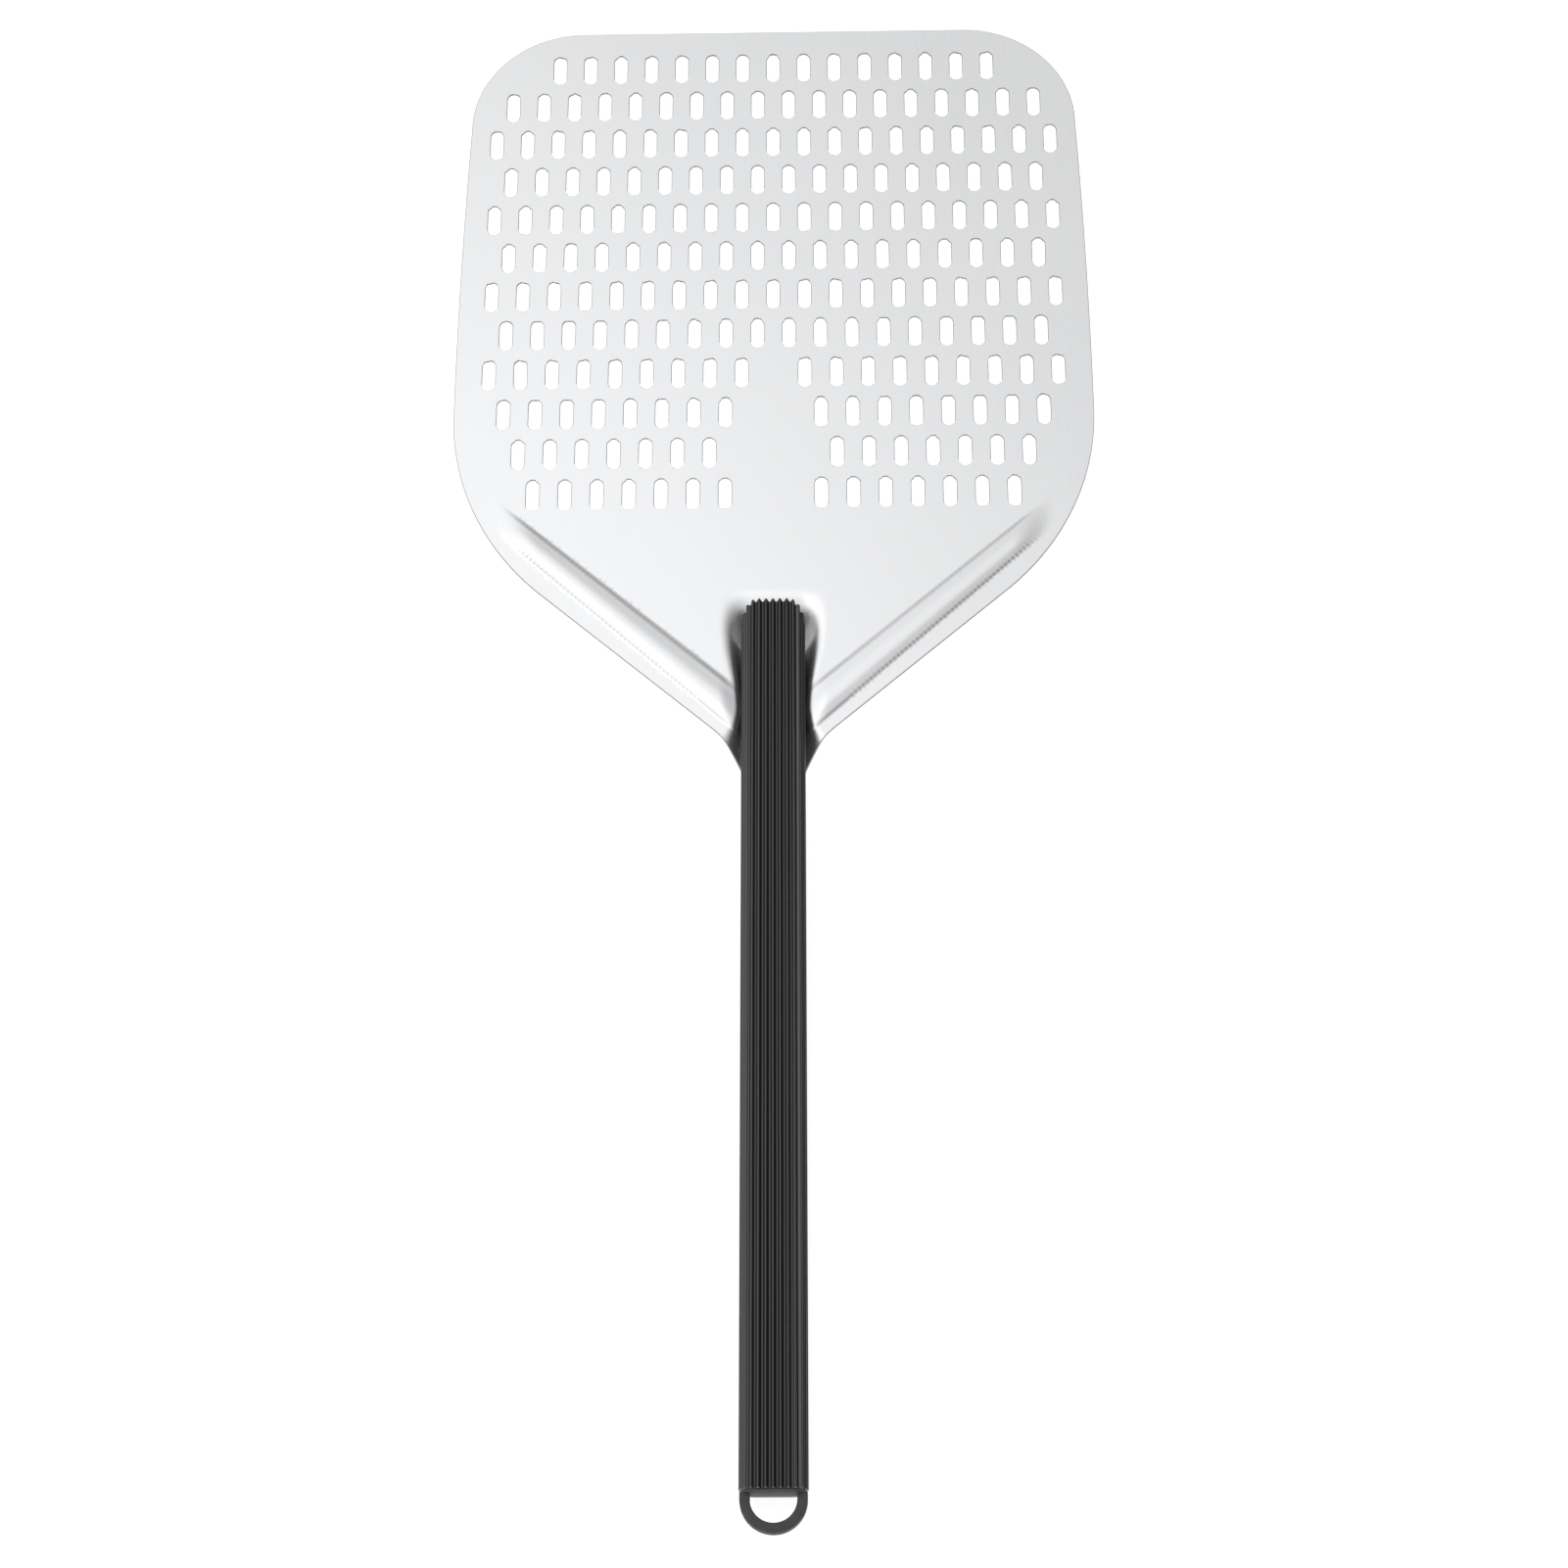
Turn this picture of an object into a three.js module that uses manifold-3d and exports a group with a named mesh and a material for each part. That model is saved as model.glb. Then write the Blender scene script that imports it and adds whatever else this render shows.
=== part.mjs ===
import * as THREE from 'three';
import { mergeVertices } from 'three/addons/utils/BufferGeometryUtils.js';
import Module from 'manifold-3d';

// A pizza peel: a pressed and slotted sheet blade, blind-riveted to a ribbed tube handle whose far
// end is closed by a moulded cap with a hanging loop. Nothing on it moves.
// Millimetres, +Z up, +X to the right, +Y from the handle towards the blade's front edge.
// The origin is the bottom centre of the whole peel. Distances along the peel are counted back
// from the front edge, and the sheet's top face is height 0 until the group is lifted at the end.

const wasm = await Module();
wasm.setup();

// Whole peel
const OVERALL_LENGTH = 746;
const CONTACT_GAP = 0.3;

// How finely curves are cut into straight pieces
const ROUND_SEGMENTS = 20;
const CORNER_SEGMENTS = 10;
const LOOP_SEGMENTS = 14;
const CAP_OUTLINE_POINTS = 40;
const SIDE_STEPS = [0, 0.33, 0.66];

// Blade outline
const HALF_WIDTH = 152;
const SHEET = 1.2;
const FRONT_CORNER_RADIUS = 54;
const FRONT_CORNER_CENTRE_X = 94.5;
const WIDEST_AT = 216;
const REAR_CORNER_RADIUS = 125;
const SHOULDER_ANGLE = THREE.MathUtils.degToRad(40.6);
const NECK_RADIUS = 50;
const TONGUE_HALF_WIDTH = 11;
const TONGUE_END_AT = 431;

// Slots: twelve staggered rows, counted back from the front edge
const SLOT_WIDTH = 6.2;
const SLOT_LENGTH = 16.2;
const SLOT_PITCH = 15.1;
const ROW_PITCH = 21.6;
const FIRST_ROW_AT = 21.3;
const SLOT_END_STEPS = 3;
// First and last slot of each row on one side, in slot pitches from the middle of the blade
const ROWS = [
  [0, 7], [0.5, 8.5], [0, 9], [0.5, 8.5], [0, 9], [0.5, 8.5],
  [0, 9], [0.5, 8.5], [1, 9], [1.5, 8.5], [2, 8], [1.5, 7.5],
];

// Pressed rear of the blade: everything behind this line is formed, everything before it is flat
const PRESSED_FROM = 248;
const GRID_STEP = 6;
const CRADLE_GRID_STEP = 3;
const CRADLE_GRID_HALF = 27;

// Cradle pressed down for the handle: half widths at the floor and at the rim, wide at the front
// and narrow behind, until the rim runs out over the neck
const CRADLE_FRONT_AT = 308;
const CRADLE_RAMP = 26;
const CRADLE_DEPTH = 7;
const CRADLE_FLOOR_HALF = 11;
const CRADLE_WIDE_RIM = 27;
const CRADLE_NARROW_RIM = 18.5;
const CRADLE_NARROWS_FROM = 322;
const CRADLE_NARROWS_OVER = 55;
const CRADLE_WALL_LEAN = 1.4;
const NECK_FALLS_FROM = 366;
const NECK_FALLS_OVER = 38;
const NECK_RIM_SPREAD = 16;

// Two stiffening beads pressed up along the shoulders
const BEAD_HEIGHT = 1.6;
const BEAD_FOOT_AT_ROOT = 4;
const BEAD_FOOT_AT_TIP = 10;
const BEAD_CREST_AT_ROOT = 11.5;
const BEAD_CREST_AT_TIP = 15.5;
const BEAD_INNER_FOOT = 24;
const BEAD_CREASE_SPAN = 0.35;
const BEAD_CREASE_SHARE = 0.45;
const BEAD_TIP_X = 132;
const BEAD_TIP_TAPER = 22;
const BEAD_ROOT_X = 12;
const BEAD_ROOT_TAPER = 14;

// Handle tube, an extrusion with fine lengthwise ribs
const TUBE_WIDTH = 29.4;
const TUBE_HEIGHT = 15;
const TUBE_CORNER = 7.5;
const TUBE_FRONT_AT = 318;
const TUBE_REAR_AT = 728;
const TUBE_WALL = 1.5;
const RIB_COUNT = 24;
const RIB_DEPTH = 1;
const RIB_STEPS = 6;
const TUBE_CUT_ANGLE = THREE.MathUtils.degToRad(54);

// End cap
const FLANGE = 1;
const FLANGE_INSET = 0.4;
const PLUG_LENGTH = 24;
const LOOP_RADIUS = 14.3;
const LOOP_BAND = 4.4;
const LOOP_THICKNESS = 6;
const LOOP_CHAMFER = 0.8;

// Blind rivets through the cradle floor into the tube
const RIVETS_AT = { front: 352, middle: 381, rear: 410 };
const RIVET_HOLE_RADIUS = 2.7;
const RIVET_SHANK_RADIUS = 2.4;
const RIVET_HEAD_RADIUS = 4.75;
const RIVET_HEAD_HEIGHT = 1.4;
const RIVET_BULB_RADIUS = 3.4;
const RIVET_BULB_HEIGHT = 3.4;
const MANDREL_HOLE_RADIUS = 1.5;
const MANDREL_RADIUS = MANDREL_HOLE_RADIUS - CONTACT_GAP;
const MANDREL_HEAD_RADIUS = 2.3;
const MANDREL_HEAD_HEIGHT = 1.8;

// Derived heights
const CRADLE_FLOOR = -CRADLE_DEPTH;
const TUBE_BOTTOM = CRADLE_FLOOR + CONTACT_GAP;
const TUBE_CENTRE = TUBE_BOTTOM + TUBE_HEIGHT / 2;
const RIVET_HEAD_TOP = CRADLE_FLOOR - SHEET - CONTACT_GAP;
const LOWEST = RIVET_HEAD_TOP - RIVET_HEAD_HEIGHT;
const TUBE_FLOOR_INSIDE = TUBE_BOTTOM + RIB_DEPTH + TUBE_WALL;

// Blade outline points that the arcs share
const REAR_TURN = Math.PI / 2 - SHOULDER_ANGLE;
const SHOULDER_TOP_X = HALF_WIDTH - REAR_CORNER_RADIUS * (1 - Math.cos(REAR_TURN));
const SHOULDER_TOP_AT = WIDEST_AT + REAR_CORNER_RADIUS * Math.sin(REAR_TURN);
const NECK_TOP_X = TONGUE_HALF_WIDTH + NECK_RADIUS * (1 - Math.cos(REAR_TURN));
const NECK_TOP_AT = SHOULDER_TOP_AT + (SHOULDER_TOP_X - NECK_TOP_X) * Math.tan(SHOULDER_ANGLE);
const NECK_END_AT = NECK_TOP_AT + NECK_RADIUS * Math.sin(REAR_TURN);

const yAt = (distance) => OVERALL_LENGTH / 2 - distance;
const distanceAt = (y) => OVERALL_LENGTH / 2 - y;

// 0 at or below 0, 1 at or above 1, with a smooth rise between
function smooth(t) {
  const clamped = THREE.MathUtils.clamp(t, 0, 1);
  return clamped ** 3 * (10 - 15 * clamped + 6 * clamped ** 2);
}

function toSolid(geometry) {
  const bare = geometry.index ? geometry.toNonIndexed() : geometry.clone();
  bare.deleteAttribute('normal');
  bare.deleteAttribute('uv');
  const merged = mergeVertices(bare, 1e-4);
  const mesh = new wasm.Mesh({
    numProp: 3,
    vertProperties: new Float32Array(merged.attributes.position.array),
    triVerts: new Uint32Array(merged.index.array),
  });
  return new wasm.Manifold(mesh);
}

function toGeometry(solid) {
  const mesh = solid.getMesh();
  const geometry = new THREE.BufferGeometry();
  geometry.setAttribute('position', new THREE.BufferAttribute(mesh.vertProperties, 3));
  geometry.setIndex(new THREE.BufferAttribute(mesh.triVerts, 1));
  geometry.computeVertexNormals();
  return geometry;
}

const extrude = (shape, depth, curveSegments) =>
  new THREE.ExtrudeGeometry(shape, { depth, curveSegments, bevelEnabled: false });

function cylinder(radius, bottom, top, x, y) {
  const geometry = new THREE.CylinderGeometry(radius, radius, top - bottom, ROUND_SEGMENTS);
  geometry.rotateX(Math.PI / 2);
  geometry.translate(x, y, (top + bottom) / 2);
  return geometry;
}

function box(low, high) {
  const size = high.clone().sub(low);
  const centre = high.clone().add(low).multiplyScalar(0.5);
  return new THREE.BoxGeometry(...size.toArray()).translate(...centre.toArray());
}

// ---- Blade ----

// The outline of the flat sheet: large front corners, sides that swell to the widest line, large
// rear corners, straight shoulders, and concave necks down to a round-ended tongue
function bladeShape() {
  const shape = new THREE.Shape();
  const side = HALF_WIDTH - (FRONT_CORNER_CENTRE_X + FRONT_CORNER_RADIUS);
  const sideRun = WIDEST_AT - FRONT_CORNER_RADIUS;
  const tongueY = yAt(TONGUE_END_AT - TONGUE_HALF_WIDTH);
  const swell = (t) => HALF_WIDTH - side * t * t;
  const rearX = HALF_WIDTH - REAR_CORNER_RADIUS;
  const neckX = TONGUE_HALF_WIDTH + NECK_RADIUS;
  const rearY = yAt(WIDEST_AT);
  const neckY = yAt(NECK_END_AT);
  const frontY = yAt(FRONT_CORNER_RADIUS);

  shape.moveTo(-FRONT_CORNER_CENTRE_X, yAt(0));
  shape.lineTo(FRONT_CORNER_CENTRE_X, yAt(0));
  shape.absarc(FRONT_CORNER_CENTRE_X, frontY, FRONT_CORNER_RADIUS, Math.PI / 2, 0, true);
  for (const t of [...SIDE_STEPS].reverse()) {
    shape.lineTo(swell(t), yAt(WIDEST_AT - sideRun * t));
  }
  shape.absarc(rearX, rearY, REAR_CORNER_RADIUS, 0, -REAR_TURN, true);
  shape.absarc(neckX, neckY, NECK_RADIUS, Math.PI - REAR_TURN, Math.PI, false);
  shape.absarc(0, tongueY, TONGUE_HALF_WIDTH, 0, -Math.PI, true);
  shape.absarc(-neckX, neckY, NECK_RADIUS, 0, REAR_TURN, false);
  shape.absarc(-rearX, rearY, REAR_CORNER_RADIUS, Math.PI + REAR_TURN, Math.PI, true);
  for (const t of SIDE_STEPS.slice(1)) {
    shape.lineTo(-swell(t), yAt(WIDEST_AT - sideRun * t));
  }
  shape.absarc(-FRONT_CORNER_CENTRE_X, frontY, FRONT_CORNER_RADIUS, Math.PI, Math.PI / 2, true);
  return shape;
}

// One slot with round ends, its long side along the peel
function slotPath(x, y) {
  const radius = SLOT_WIDTH / 2;
  const reach = (SLOT_LENGTH - SLOT_WIDTH) / 2;
  const points = [];
  for (const end of [1, -1]) {
    for (let step = 0; step <= SLOT_END_STEPS; step += 1) {
      const angle = (Math.PI * step) / SLOT_END_STEPS;
      points.push(new THREE.Vector2(
        x + end * radius * Math.cos(angle),
        y + end * (reach + radius * Math.sin(angle)),
      ));
    }
  }
  return new THREE.Path(points);
}

function slotPaths() {
  const paths = [];
  ROWS.forEach(([first, last], row) => {
    const y = yAt(FIRST_ROW_AT + row * ROW_PITCH);
    for (let column = first; column <= last; column += 1) {
      paths.push(slotPath(column * SLOT_PITCH, y));
      if (column > 0) {
        paths.push(slotPath(-column * SLOT_PITCH, y));
      }
    }
  });
  return paths;
}

// How far the cradle pushes the sheet down
function cradleDrop(x, distance) {
  const narrowed = smooth((distance - CRADLE_NARROWS_FROM) / CRADLE_NARROWS_OVER);
  const fallen = smooth((distance - NECK_FALLS_FROM) / NECK_FALLS_OVER);
  const rim = THREE.MathUtils.lerp(CRADLE_WIDE_RIM, CRADLE_NARROW_RIM, narrowed) + NECK_RIM_SPREAD * fallen;
  const inwards = Math.max(0, rim - Math.abs(x)) / (rim - CRADLE_FLOOR_HALF);
  const wall = smooth(inwards ** CRADLE_WALL_LEAN);
  return CRADLE_DEPTH * smooth((distance - CRADLE_FRONT_AT) / CRADLE_RAMP) * wall;
}

// One side of a bead, from 0 at its foot to 1 at its crest: a short steep crease at the foot, then
// a gentler face
function beadSide(t) {
  const crease = smooth(t / BEAD_CREASE_SPAN);
  return BEAD_CREASE_SHARE * crease + (1 - BEAD_CREASE_SHARE) * smooth(t);
}

// How far a bead lifts the sheet. Its outer foot, crest and inner foot are set in from the
// shoulder's edge, and the bead is widest at its root beside the handle
function beadRise(x, distance) {
  const edgeAt = SHOULDER_TOP_AT + (SHOULDER_TOP_X - Math.abs(x)) * Math.tan(SHOULDER_ANGLE);
  const inset = (edgeAt - distance) * Math.cos(SHOULDER_ANGLE);
  const along = THREE.MathUtils.clamp(Math.abs(x) / BEAD_TIP_X, 0, 1);
  const foot = THREE.MathUtils.lerp(BEAD_FOOT_AT_ROOT, BEAD_FOOT_AT_TIP, along);
  const crest = THREE.MathUtils.lerp(BEAD_CREST_AT_ROOT, BEAD_CREST_AT_TIP, along);
  const outer = beadSide((inset - foot) / (crest - foot));
  const inner = beadSide((BEAD_INNER_FOOT - inset) / (BEAD_INNER_FOOT - crest));
  const tip = smooth((BEAD_TIP_X - Math.abs(x)) / BEAD_TIP_TAPER);
  const root = smooth((Math.abs(x) - BEAD_ROOT_X) / BEAD_ROOT_TAPER);
  return BEAD_HEIGHT * Math.min(outer, inner) * tip * root;
}

const sheetHeight = (x, y) => beadRise(x, distanceAt(y)) - cradleDrop(x, distanceAt(y));

// Grid lines across the blade, closer together over the cradle
function gridColumns() {
  const right = [0];
  while (right.at(-1) < HALF_WIDTH) {
    const step = right.at(-1) < CRADLE_GRID_HALF ? CRADLE_GRID_STEP : GRID_STEP;
    right.push(right.at(-1) + step);
  }
  const left = right.slice(1).reverse().map((x) => -x);
  return [...left, ...right];
}

// A closed slab of sheet thickness that follows the pressed shape, wider than the blade
function pressedSlab() {
  const across = gridColumns();
  const columns = across.length - 1;
  const rows = Math.ceil((TONGUE_END_AT + GRID_STEP - PRESSED_FROM) / GRID_STEP);
  const stride = columns + 1;
  const count = stride * (rows + 1);
  const positions = [];
  for (const thickness of [0, SHEET]) {
    for (let j = 0; j <= rows; j += 1) {
      const y = yAt(PRESSED_FROM + j * GRID_STEP);
      for (const x of across) {
        positions.push(x, y, sheetHeight(x, y) - thickness);
      }
    }
  }

  const triangles = [];
  for (let j = 0; j < rows; j += 1) {
    for (let i = 0; i < columns; i += 1) {
      const near = j * stride + i;
      const far = near + stride;
      triangles.push(near, far, near + 1, far, far + 1, near + 1);
      triangles.push(near + count, near + 1 + count, far + count);
      triangles.push(far + count, near + 1 + count, far + 1 + count);
    }
  }
  const rim = [];
  for (let i = 0; i < columns; i += 1) {
    rim.push(i);
  }
  for (let j = 0; j < rows; j += 1) {
    rim.push(j * stride + columns);
  }
  for (let i = columns; i > 0; i -= 1) {
    rim.push(rows * stride + i);
  }
  for (let j = rows; j > 0; j -= 1) {
    rim.push(j * stride);
  }
  rim.forEach((here, i) => {
    const next = rim[(i + 1) % rim.length];
    triangles.push(here, next, next + count);
    triangles.push(here, next + count, here + count);
  });

  const slab = new THREE.BufferGeometry();
  slab.setAttribute('position', new THREE.Float32BufferAttribute(positions, 3));
  slab.setIndex(triangles);
  return slab;
}

function bladeGeometry() {
  const reach = 2 * CRADLE_DEPTH;
  const cutY = yAt(PRESSED_FROM);
  const behindCut = box(
    new THREE.Vector3(-HALF_WIDTH - reach, yAt(TONGUE_END_AT) - reach, -reach),
    new THREE.Vector3(HALF_WIDTH + reach, cutY, reach),
  );

  const slotted = bladeShape();
  slotted.holes.push(...slotPaths());
  const plate = extrude(slotted, SHEET, CORNER_SEGMENTS).translate(0, 0, -SHEET);
  const flat = toSolid(plate).subtract(toSolid(behindCut));

  const outline = toSolid(extrude(bladeShape(), 2 * reach, CORNER_SEGMENTS).translate(0, 0, -reach));
  let blade = flat.add(toSolid(pressedSlab()).intersect(outline));
  for (const distance of Object.values(RIVETS_AT)) {
    blade = blade.subtract(toSolid(cylinder(RIVET_HOLE_RADIUS, -reach, reach, 0, yAt(distance))));
  }
  return toGeometry(blade);
}

// ---- Handle ----

// Points of a rounded rectangle around the origin, evenly spaced along its outline, each moved
// inwards by inset(index)
function roundedOutline(width, height, radius, count, inset) {
  const straightX = width - 2 * radius;
  const straightY = height - 2 * radius;
  const quarter = (Math.PI * radius) / 2;
  const perimeter = 2 * (straightX + straightY) + 4 * quarter;
  const points = [];
  for (let i = 0; i < count; i += 1) {
    // Start in the middle of the top and walk clockwise, one side and corner after another
    let left = ((perimeter * i) / count + straightX / 2) % perimeter;
    let angle = Math.PI / 2;
    let centre = new THREE.Vector2(-straightX / 2, straightY / 2);
    for (const straight of [straightX, straightY, straightX, straightY]) {
      const direction = new THREE.Vector2(Math.sin(angle), -Math.cos(angle));
      centre.addScaledVector(direction, Math.min(left, straight));
      left -= straight;
      if (left <= 0) break;
      angle -= Math.min(left, quarter) / radius;
      left -= quarter;
      if (left <= 0) break;
    }
    const outwards = new THREE.Vector2(Math.cos(angle), Math.sin(angle));
    points.push(centre.addScaledVector(outwards, radius - inset(i)));
  }
  return points.reverse();
}

// The tube's outline without ribs, drawn in by a margin
function smoothOutline(margin) {
  const width = TUBE_WIDTH - 2 * margin;
  const height = TUBE_HEIGHT - 2 * margin;
  return roundedOutline(width, height, TUBE_CORNER - margin, CAP_OUTLINE_POINTS, () => 0);
}

// Turns a shape drawn as seen from behind the peel into a solid running back from a distance
function extrudeBack(shape, from, length) {
  const geometry = extrude(shape, length, 1);
  geometry.rotateX(Math.PI / 2);
  geometry.translate(0, yAt(from), TUBE_CENTRE);
  return geometry;
}

// The front is cut at a slant, the top furthest forward, so that the tube clears the cradle's ramp
function slantCutter() {
  const size = 4 * TUBE_WIDTH;
  const cutter = new THREE.BoxGeometry(size, size, size);
  cutter.translate(0, size / 2, 0);
  cutter.rotateX(-TUBE_CUT_ANGLE);
  cutter.translate(0, yAt(TUBE_FRONT_AT), TUBE_BOTTOM + TUBE_HEIGHT);
  return cutter;
}

function tubeGeometry() {
  const ribInset = (i) => (RIB_DEPTH / 2) * (1 - Math.cos((2 * Math.PI * i) / RIB_STEPS));
  const ribbed = roundedOutline(TUBE_WIDTH, TUBE_HEIGHT, TUBE_CORNER, RIB_COUNT * RIB_STEPS, ribInset);
  const section = new THREE.Shape(ribbed);
  section.holes.push(new THREE.Path(smoothOutline(RIB_DEPTH + TUBE_WALL)));
  const spare = RIB_DEPTH;
  const bar = extrudeBack(section, TUBE_FRONT_AT - spare, TUBE_REAR_AT - TUBE_FRONT_AT + spare);
  let tube = toSolid(bar).subtract(toSolid(slantCutter()));
  for (const distance of Object.values(RIVETS_AT)) {
    const hole = cylinder(RIVET_HOLE_RADIUS, TUBE_BOTTOM - spare, TUBE_CENTRE, 0, yAt(distance));
    tube = tube.subtract(toSolid(hole));
  }
  return toGeometry(tube);
}

// ---- End cap ----

// A half ring with short straight arms, drawn in plan
function loopShape(outerRadius, innerRadius, armStart, armEnd) {
  const shape = new THREE.Shape();
  const start = yAt(armStart);
  const centre = yAt(armEnd);
  shape.moveTo(-outerRadius, start);
  shape.lineTo(-outerRadius, centre);
  shape.absarc(0, centre, outerRadius, Math.PI, 2 * Math.PI, false);
  shape.lineTo(outerRadius, start);
  shape.lineTo(innerRadius, start);
  shape.absarc(0, centre, innerRadius, 2 * Math.PI, Math.PI, true);
  shape.lineTo(-innerRadius, start);
  return shape;
}

function endCapGeometry() {
  const flangeFrom = TUBE_REAR_AT + CONTACT_GAP;
  const plugMargin = RIB_DEPTH + TUBE_WALL + CONTACT_GAP;
  const overlap = FLANGE / 2;
  const flange = extrudeBack(new THREE.Shape(smoothOutline(FLANGE_INSET)), flangeFrom, FLANGE);
  const plugRun = PLUG_LENGTH + overlap;
  const plug = extrudeBack(new THREE.Shape(smoothOutline(plugMargin)), flangeFrom - PLUG_LENGTH, plugRun);

  const armStart = flangeFrom + overlap;
  const armEnd = OVERALL_LENGTH - LOOP_RADIUS;
  const loopHalf = LOOP_THICKNESS / 2;
  const loop = new THREE.ExtrudeGeometry(
    loopShape(LOOP_RADIUS - LOOP_CHAMFER, LOOP_RADIUS - LOOP_BAND + LOOP_CHAMFER, armStart, armEnd),
    {
      depth: LOOP_THICKNESS - 2 * LOOP_CHAMFER,
      curveSegments: LOOP_SEGMENTS,
      bevelSize: LOOP_CHAMFER,
      bevelThickness: LOOP_CHAMFER,
      bevelSegments: 1,
    },
  );
  loop.translate(0, 0, TUBE_CENTRE - loopHalf + LOOP_CHAMFER);
  return toGeometry(toSolid(flange).add(toSolid(plug)).add(toSolid(loop)));
}

// ---- Rivets ----

// Turns a profile of [radius, height] pairs about an upright axis
function turned(profile, distance) {
  const points = profile.map(([radius, height]) => new THREE.Vector2(radius, height));
  const geometry = new THREE.LatheGeometry(points, ROUND_SEGMENTS);
  geometry.rotateX(Math.PI / 2);
  geometry.translate(0, yAt(distance), 0);
  return geometry;
}

// A tubular rivet: low domed head under the cradle, shank, and the bulb set inside the tube
function rivetGeometry(distance) {
  const bulbBottom = TUBE_FLOOR_INSIDE + CONTACT_GAP;
  const rim = RIVET_HEAD_TOP - 0.3 * RIVET_HEAD_HEIGHT;
  return turned([
    [MANDREL_HOLE_RADIUS, LOWEST],
    [0.6 * RIVET_HEAD_RADIUS, LOWEST + 0.1 * RIVET_HEAD_HEIGHT],
    [0.9 * RIVET_HEAD_RADIUS, LOWEST + 0.4 * RIVET_HEAD_HEIGHT],
    [RIVET_HEAD_RADIUS, rim],
    [RIVET_HEAD_RADIUS, RIVET_HEAD_TOP],
    [RIVET_SHANK_RADIUS, RIVET_HEAD_TOP],
    [RIVET_SHANK_RADIUS, bulbBottom],
    [0.85 * RIVET_BULB_RADIUS, bulbBottom],
    [RIVET_BULB_RADIUS, bulbBottom + 0.4 * RIVET_BULB_HEIGHT],
    [0.8 * RIVET_BULB_RADIUS, bulbBottom + RIVET_BULB_HEIGHT],
    [MANDREL_HOLE_RADIUS, bulbBottom + RIVET_BULB_HEIGHT],
    [MANDREL_HOLE_RADIUS, LOWEST],
  ], distance);
}

// What is left of the pulling pin: a broken-off stem in the rivet and its head on the bulb
function mandrelGeometry(distance) {
  const stemBottom = RIVET_HEAD_TOP;
  const headBottom = TUBE_FLOOR_INSIDE + CONTACT_GAP + RIVET_BULB_HEIGHT + CONTACT_GAP;
  return turned([
    [0, stemBottom],
    [MANDREL_RADIUS, stemBottom],
    [MANDREL_RADIUS, headBottom],
    [MANDREL_HEAD_RADIUS, headBottom],
    [MANDREL_HEAD_RADIUS, headBottom + 0.5 * MANDREL_HEAD_HEIGHT],
    [0.6 * MANDREL_HEAD_RADIUS, headBottom + MANDREL_HEAD_HEIGHT],
    [0, headBottom + MANDREL_HEAD_HEIGHT],
  ], distance);
}

// ---- Materials and assembly ----

const finish = (color, roughness, metalness) =>
  new THREE.MeshStandardMaterial({ color, roughness, metalness });
const satinAluminium = () => finish(0xdcdddf, 0.42, 0.9);
const blackAnodised = () => finish(0x1b1b1d, 0.38, 0.7);
const greyPlastic = () => finish(0x4a4a4c, 0.6, 0);
const rivetAluminium = () => finish(0xc4c6c8, 0.35, 1);
const pinSteel = () => finish(0x9a9ca0, 0.4, 1);

const peel = new THREE.Group();

function addPart(name, geometry, material) {
  const mesh = new THREE.Mesh(geometry, material);
  mesh.name = name;
  peel.add(mesh);
}

addPart('blade', bladeGeometry(), satinAluminium());
addPart('handle_tube', tubeGeometry(), blackAnodised());
addPart('end_cap', endCapGeometry(), greyPlastic());
for (const [place, distance] of Object.entries(RIVETS_AT)) {
  addPart(`rivet_${place}`, rivetGeometry(distance), rivetAluminium());
  addPart(`rivet_pin_${place}`, mandrelGeometry(distance), pinSteel());
}

peel.position.z = -LOWEST;

export default peel;
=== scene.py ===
"""A pizza peel: satin aluminium blade with slots, ribbed black handle, moulded cap with a loop.

Everything is in metres. +Y runs from the handle to the blade's front edge, +X to the right and
+Z up. Distances along the peel are counted back from the front edge.
"""

import math

import bpy
import bmesh
import numpy as np
from mathutils import Matrix, Vector
from mathutils.geometry import delaunay_2d_cdt


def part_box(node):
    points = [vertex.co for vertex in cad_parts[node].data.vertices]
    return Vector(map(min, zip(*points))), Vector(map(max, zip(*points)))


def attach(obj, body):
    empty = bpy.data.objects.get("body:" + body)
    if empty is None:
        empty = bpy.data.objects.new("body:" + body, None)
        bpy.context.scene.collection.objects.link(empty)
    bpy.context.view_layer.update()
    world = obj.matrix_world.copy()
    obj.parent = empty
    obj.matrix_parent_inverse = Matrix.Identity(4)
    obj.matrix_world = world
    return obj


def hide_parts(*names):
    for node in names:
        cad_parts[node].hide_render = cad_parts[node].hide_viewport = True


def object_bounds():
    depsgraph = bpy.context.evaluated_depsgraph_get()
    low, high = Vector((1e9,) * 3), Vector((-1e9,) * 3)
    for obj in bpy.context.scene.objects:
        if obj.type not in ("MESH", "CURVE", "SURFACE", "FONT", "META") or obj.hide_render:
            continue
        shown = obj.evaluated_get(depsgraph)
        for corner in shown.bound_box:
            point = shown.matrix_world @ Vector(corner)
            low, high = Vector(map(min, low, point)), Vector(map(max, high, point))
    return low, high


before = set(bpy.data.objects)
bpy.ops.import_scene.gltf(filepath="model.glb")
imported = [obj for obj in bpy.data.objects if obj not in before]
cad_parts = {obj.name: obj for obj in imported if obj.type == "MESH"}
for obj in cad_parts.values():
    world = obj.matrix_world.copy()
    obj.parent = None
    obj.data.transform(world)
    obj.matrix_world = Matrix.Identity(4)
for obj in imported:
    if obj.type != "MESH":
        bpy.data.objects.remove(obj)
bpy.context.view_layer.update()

MM = 0.001
BODY = "root"

# ---------------------------------------------------------------- driving dimensions

CONTACT_GAP = 0.3 * MM

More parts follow.
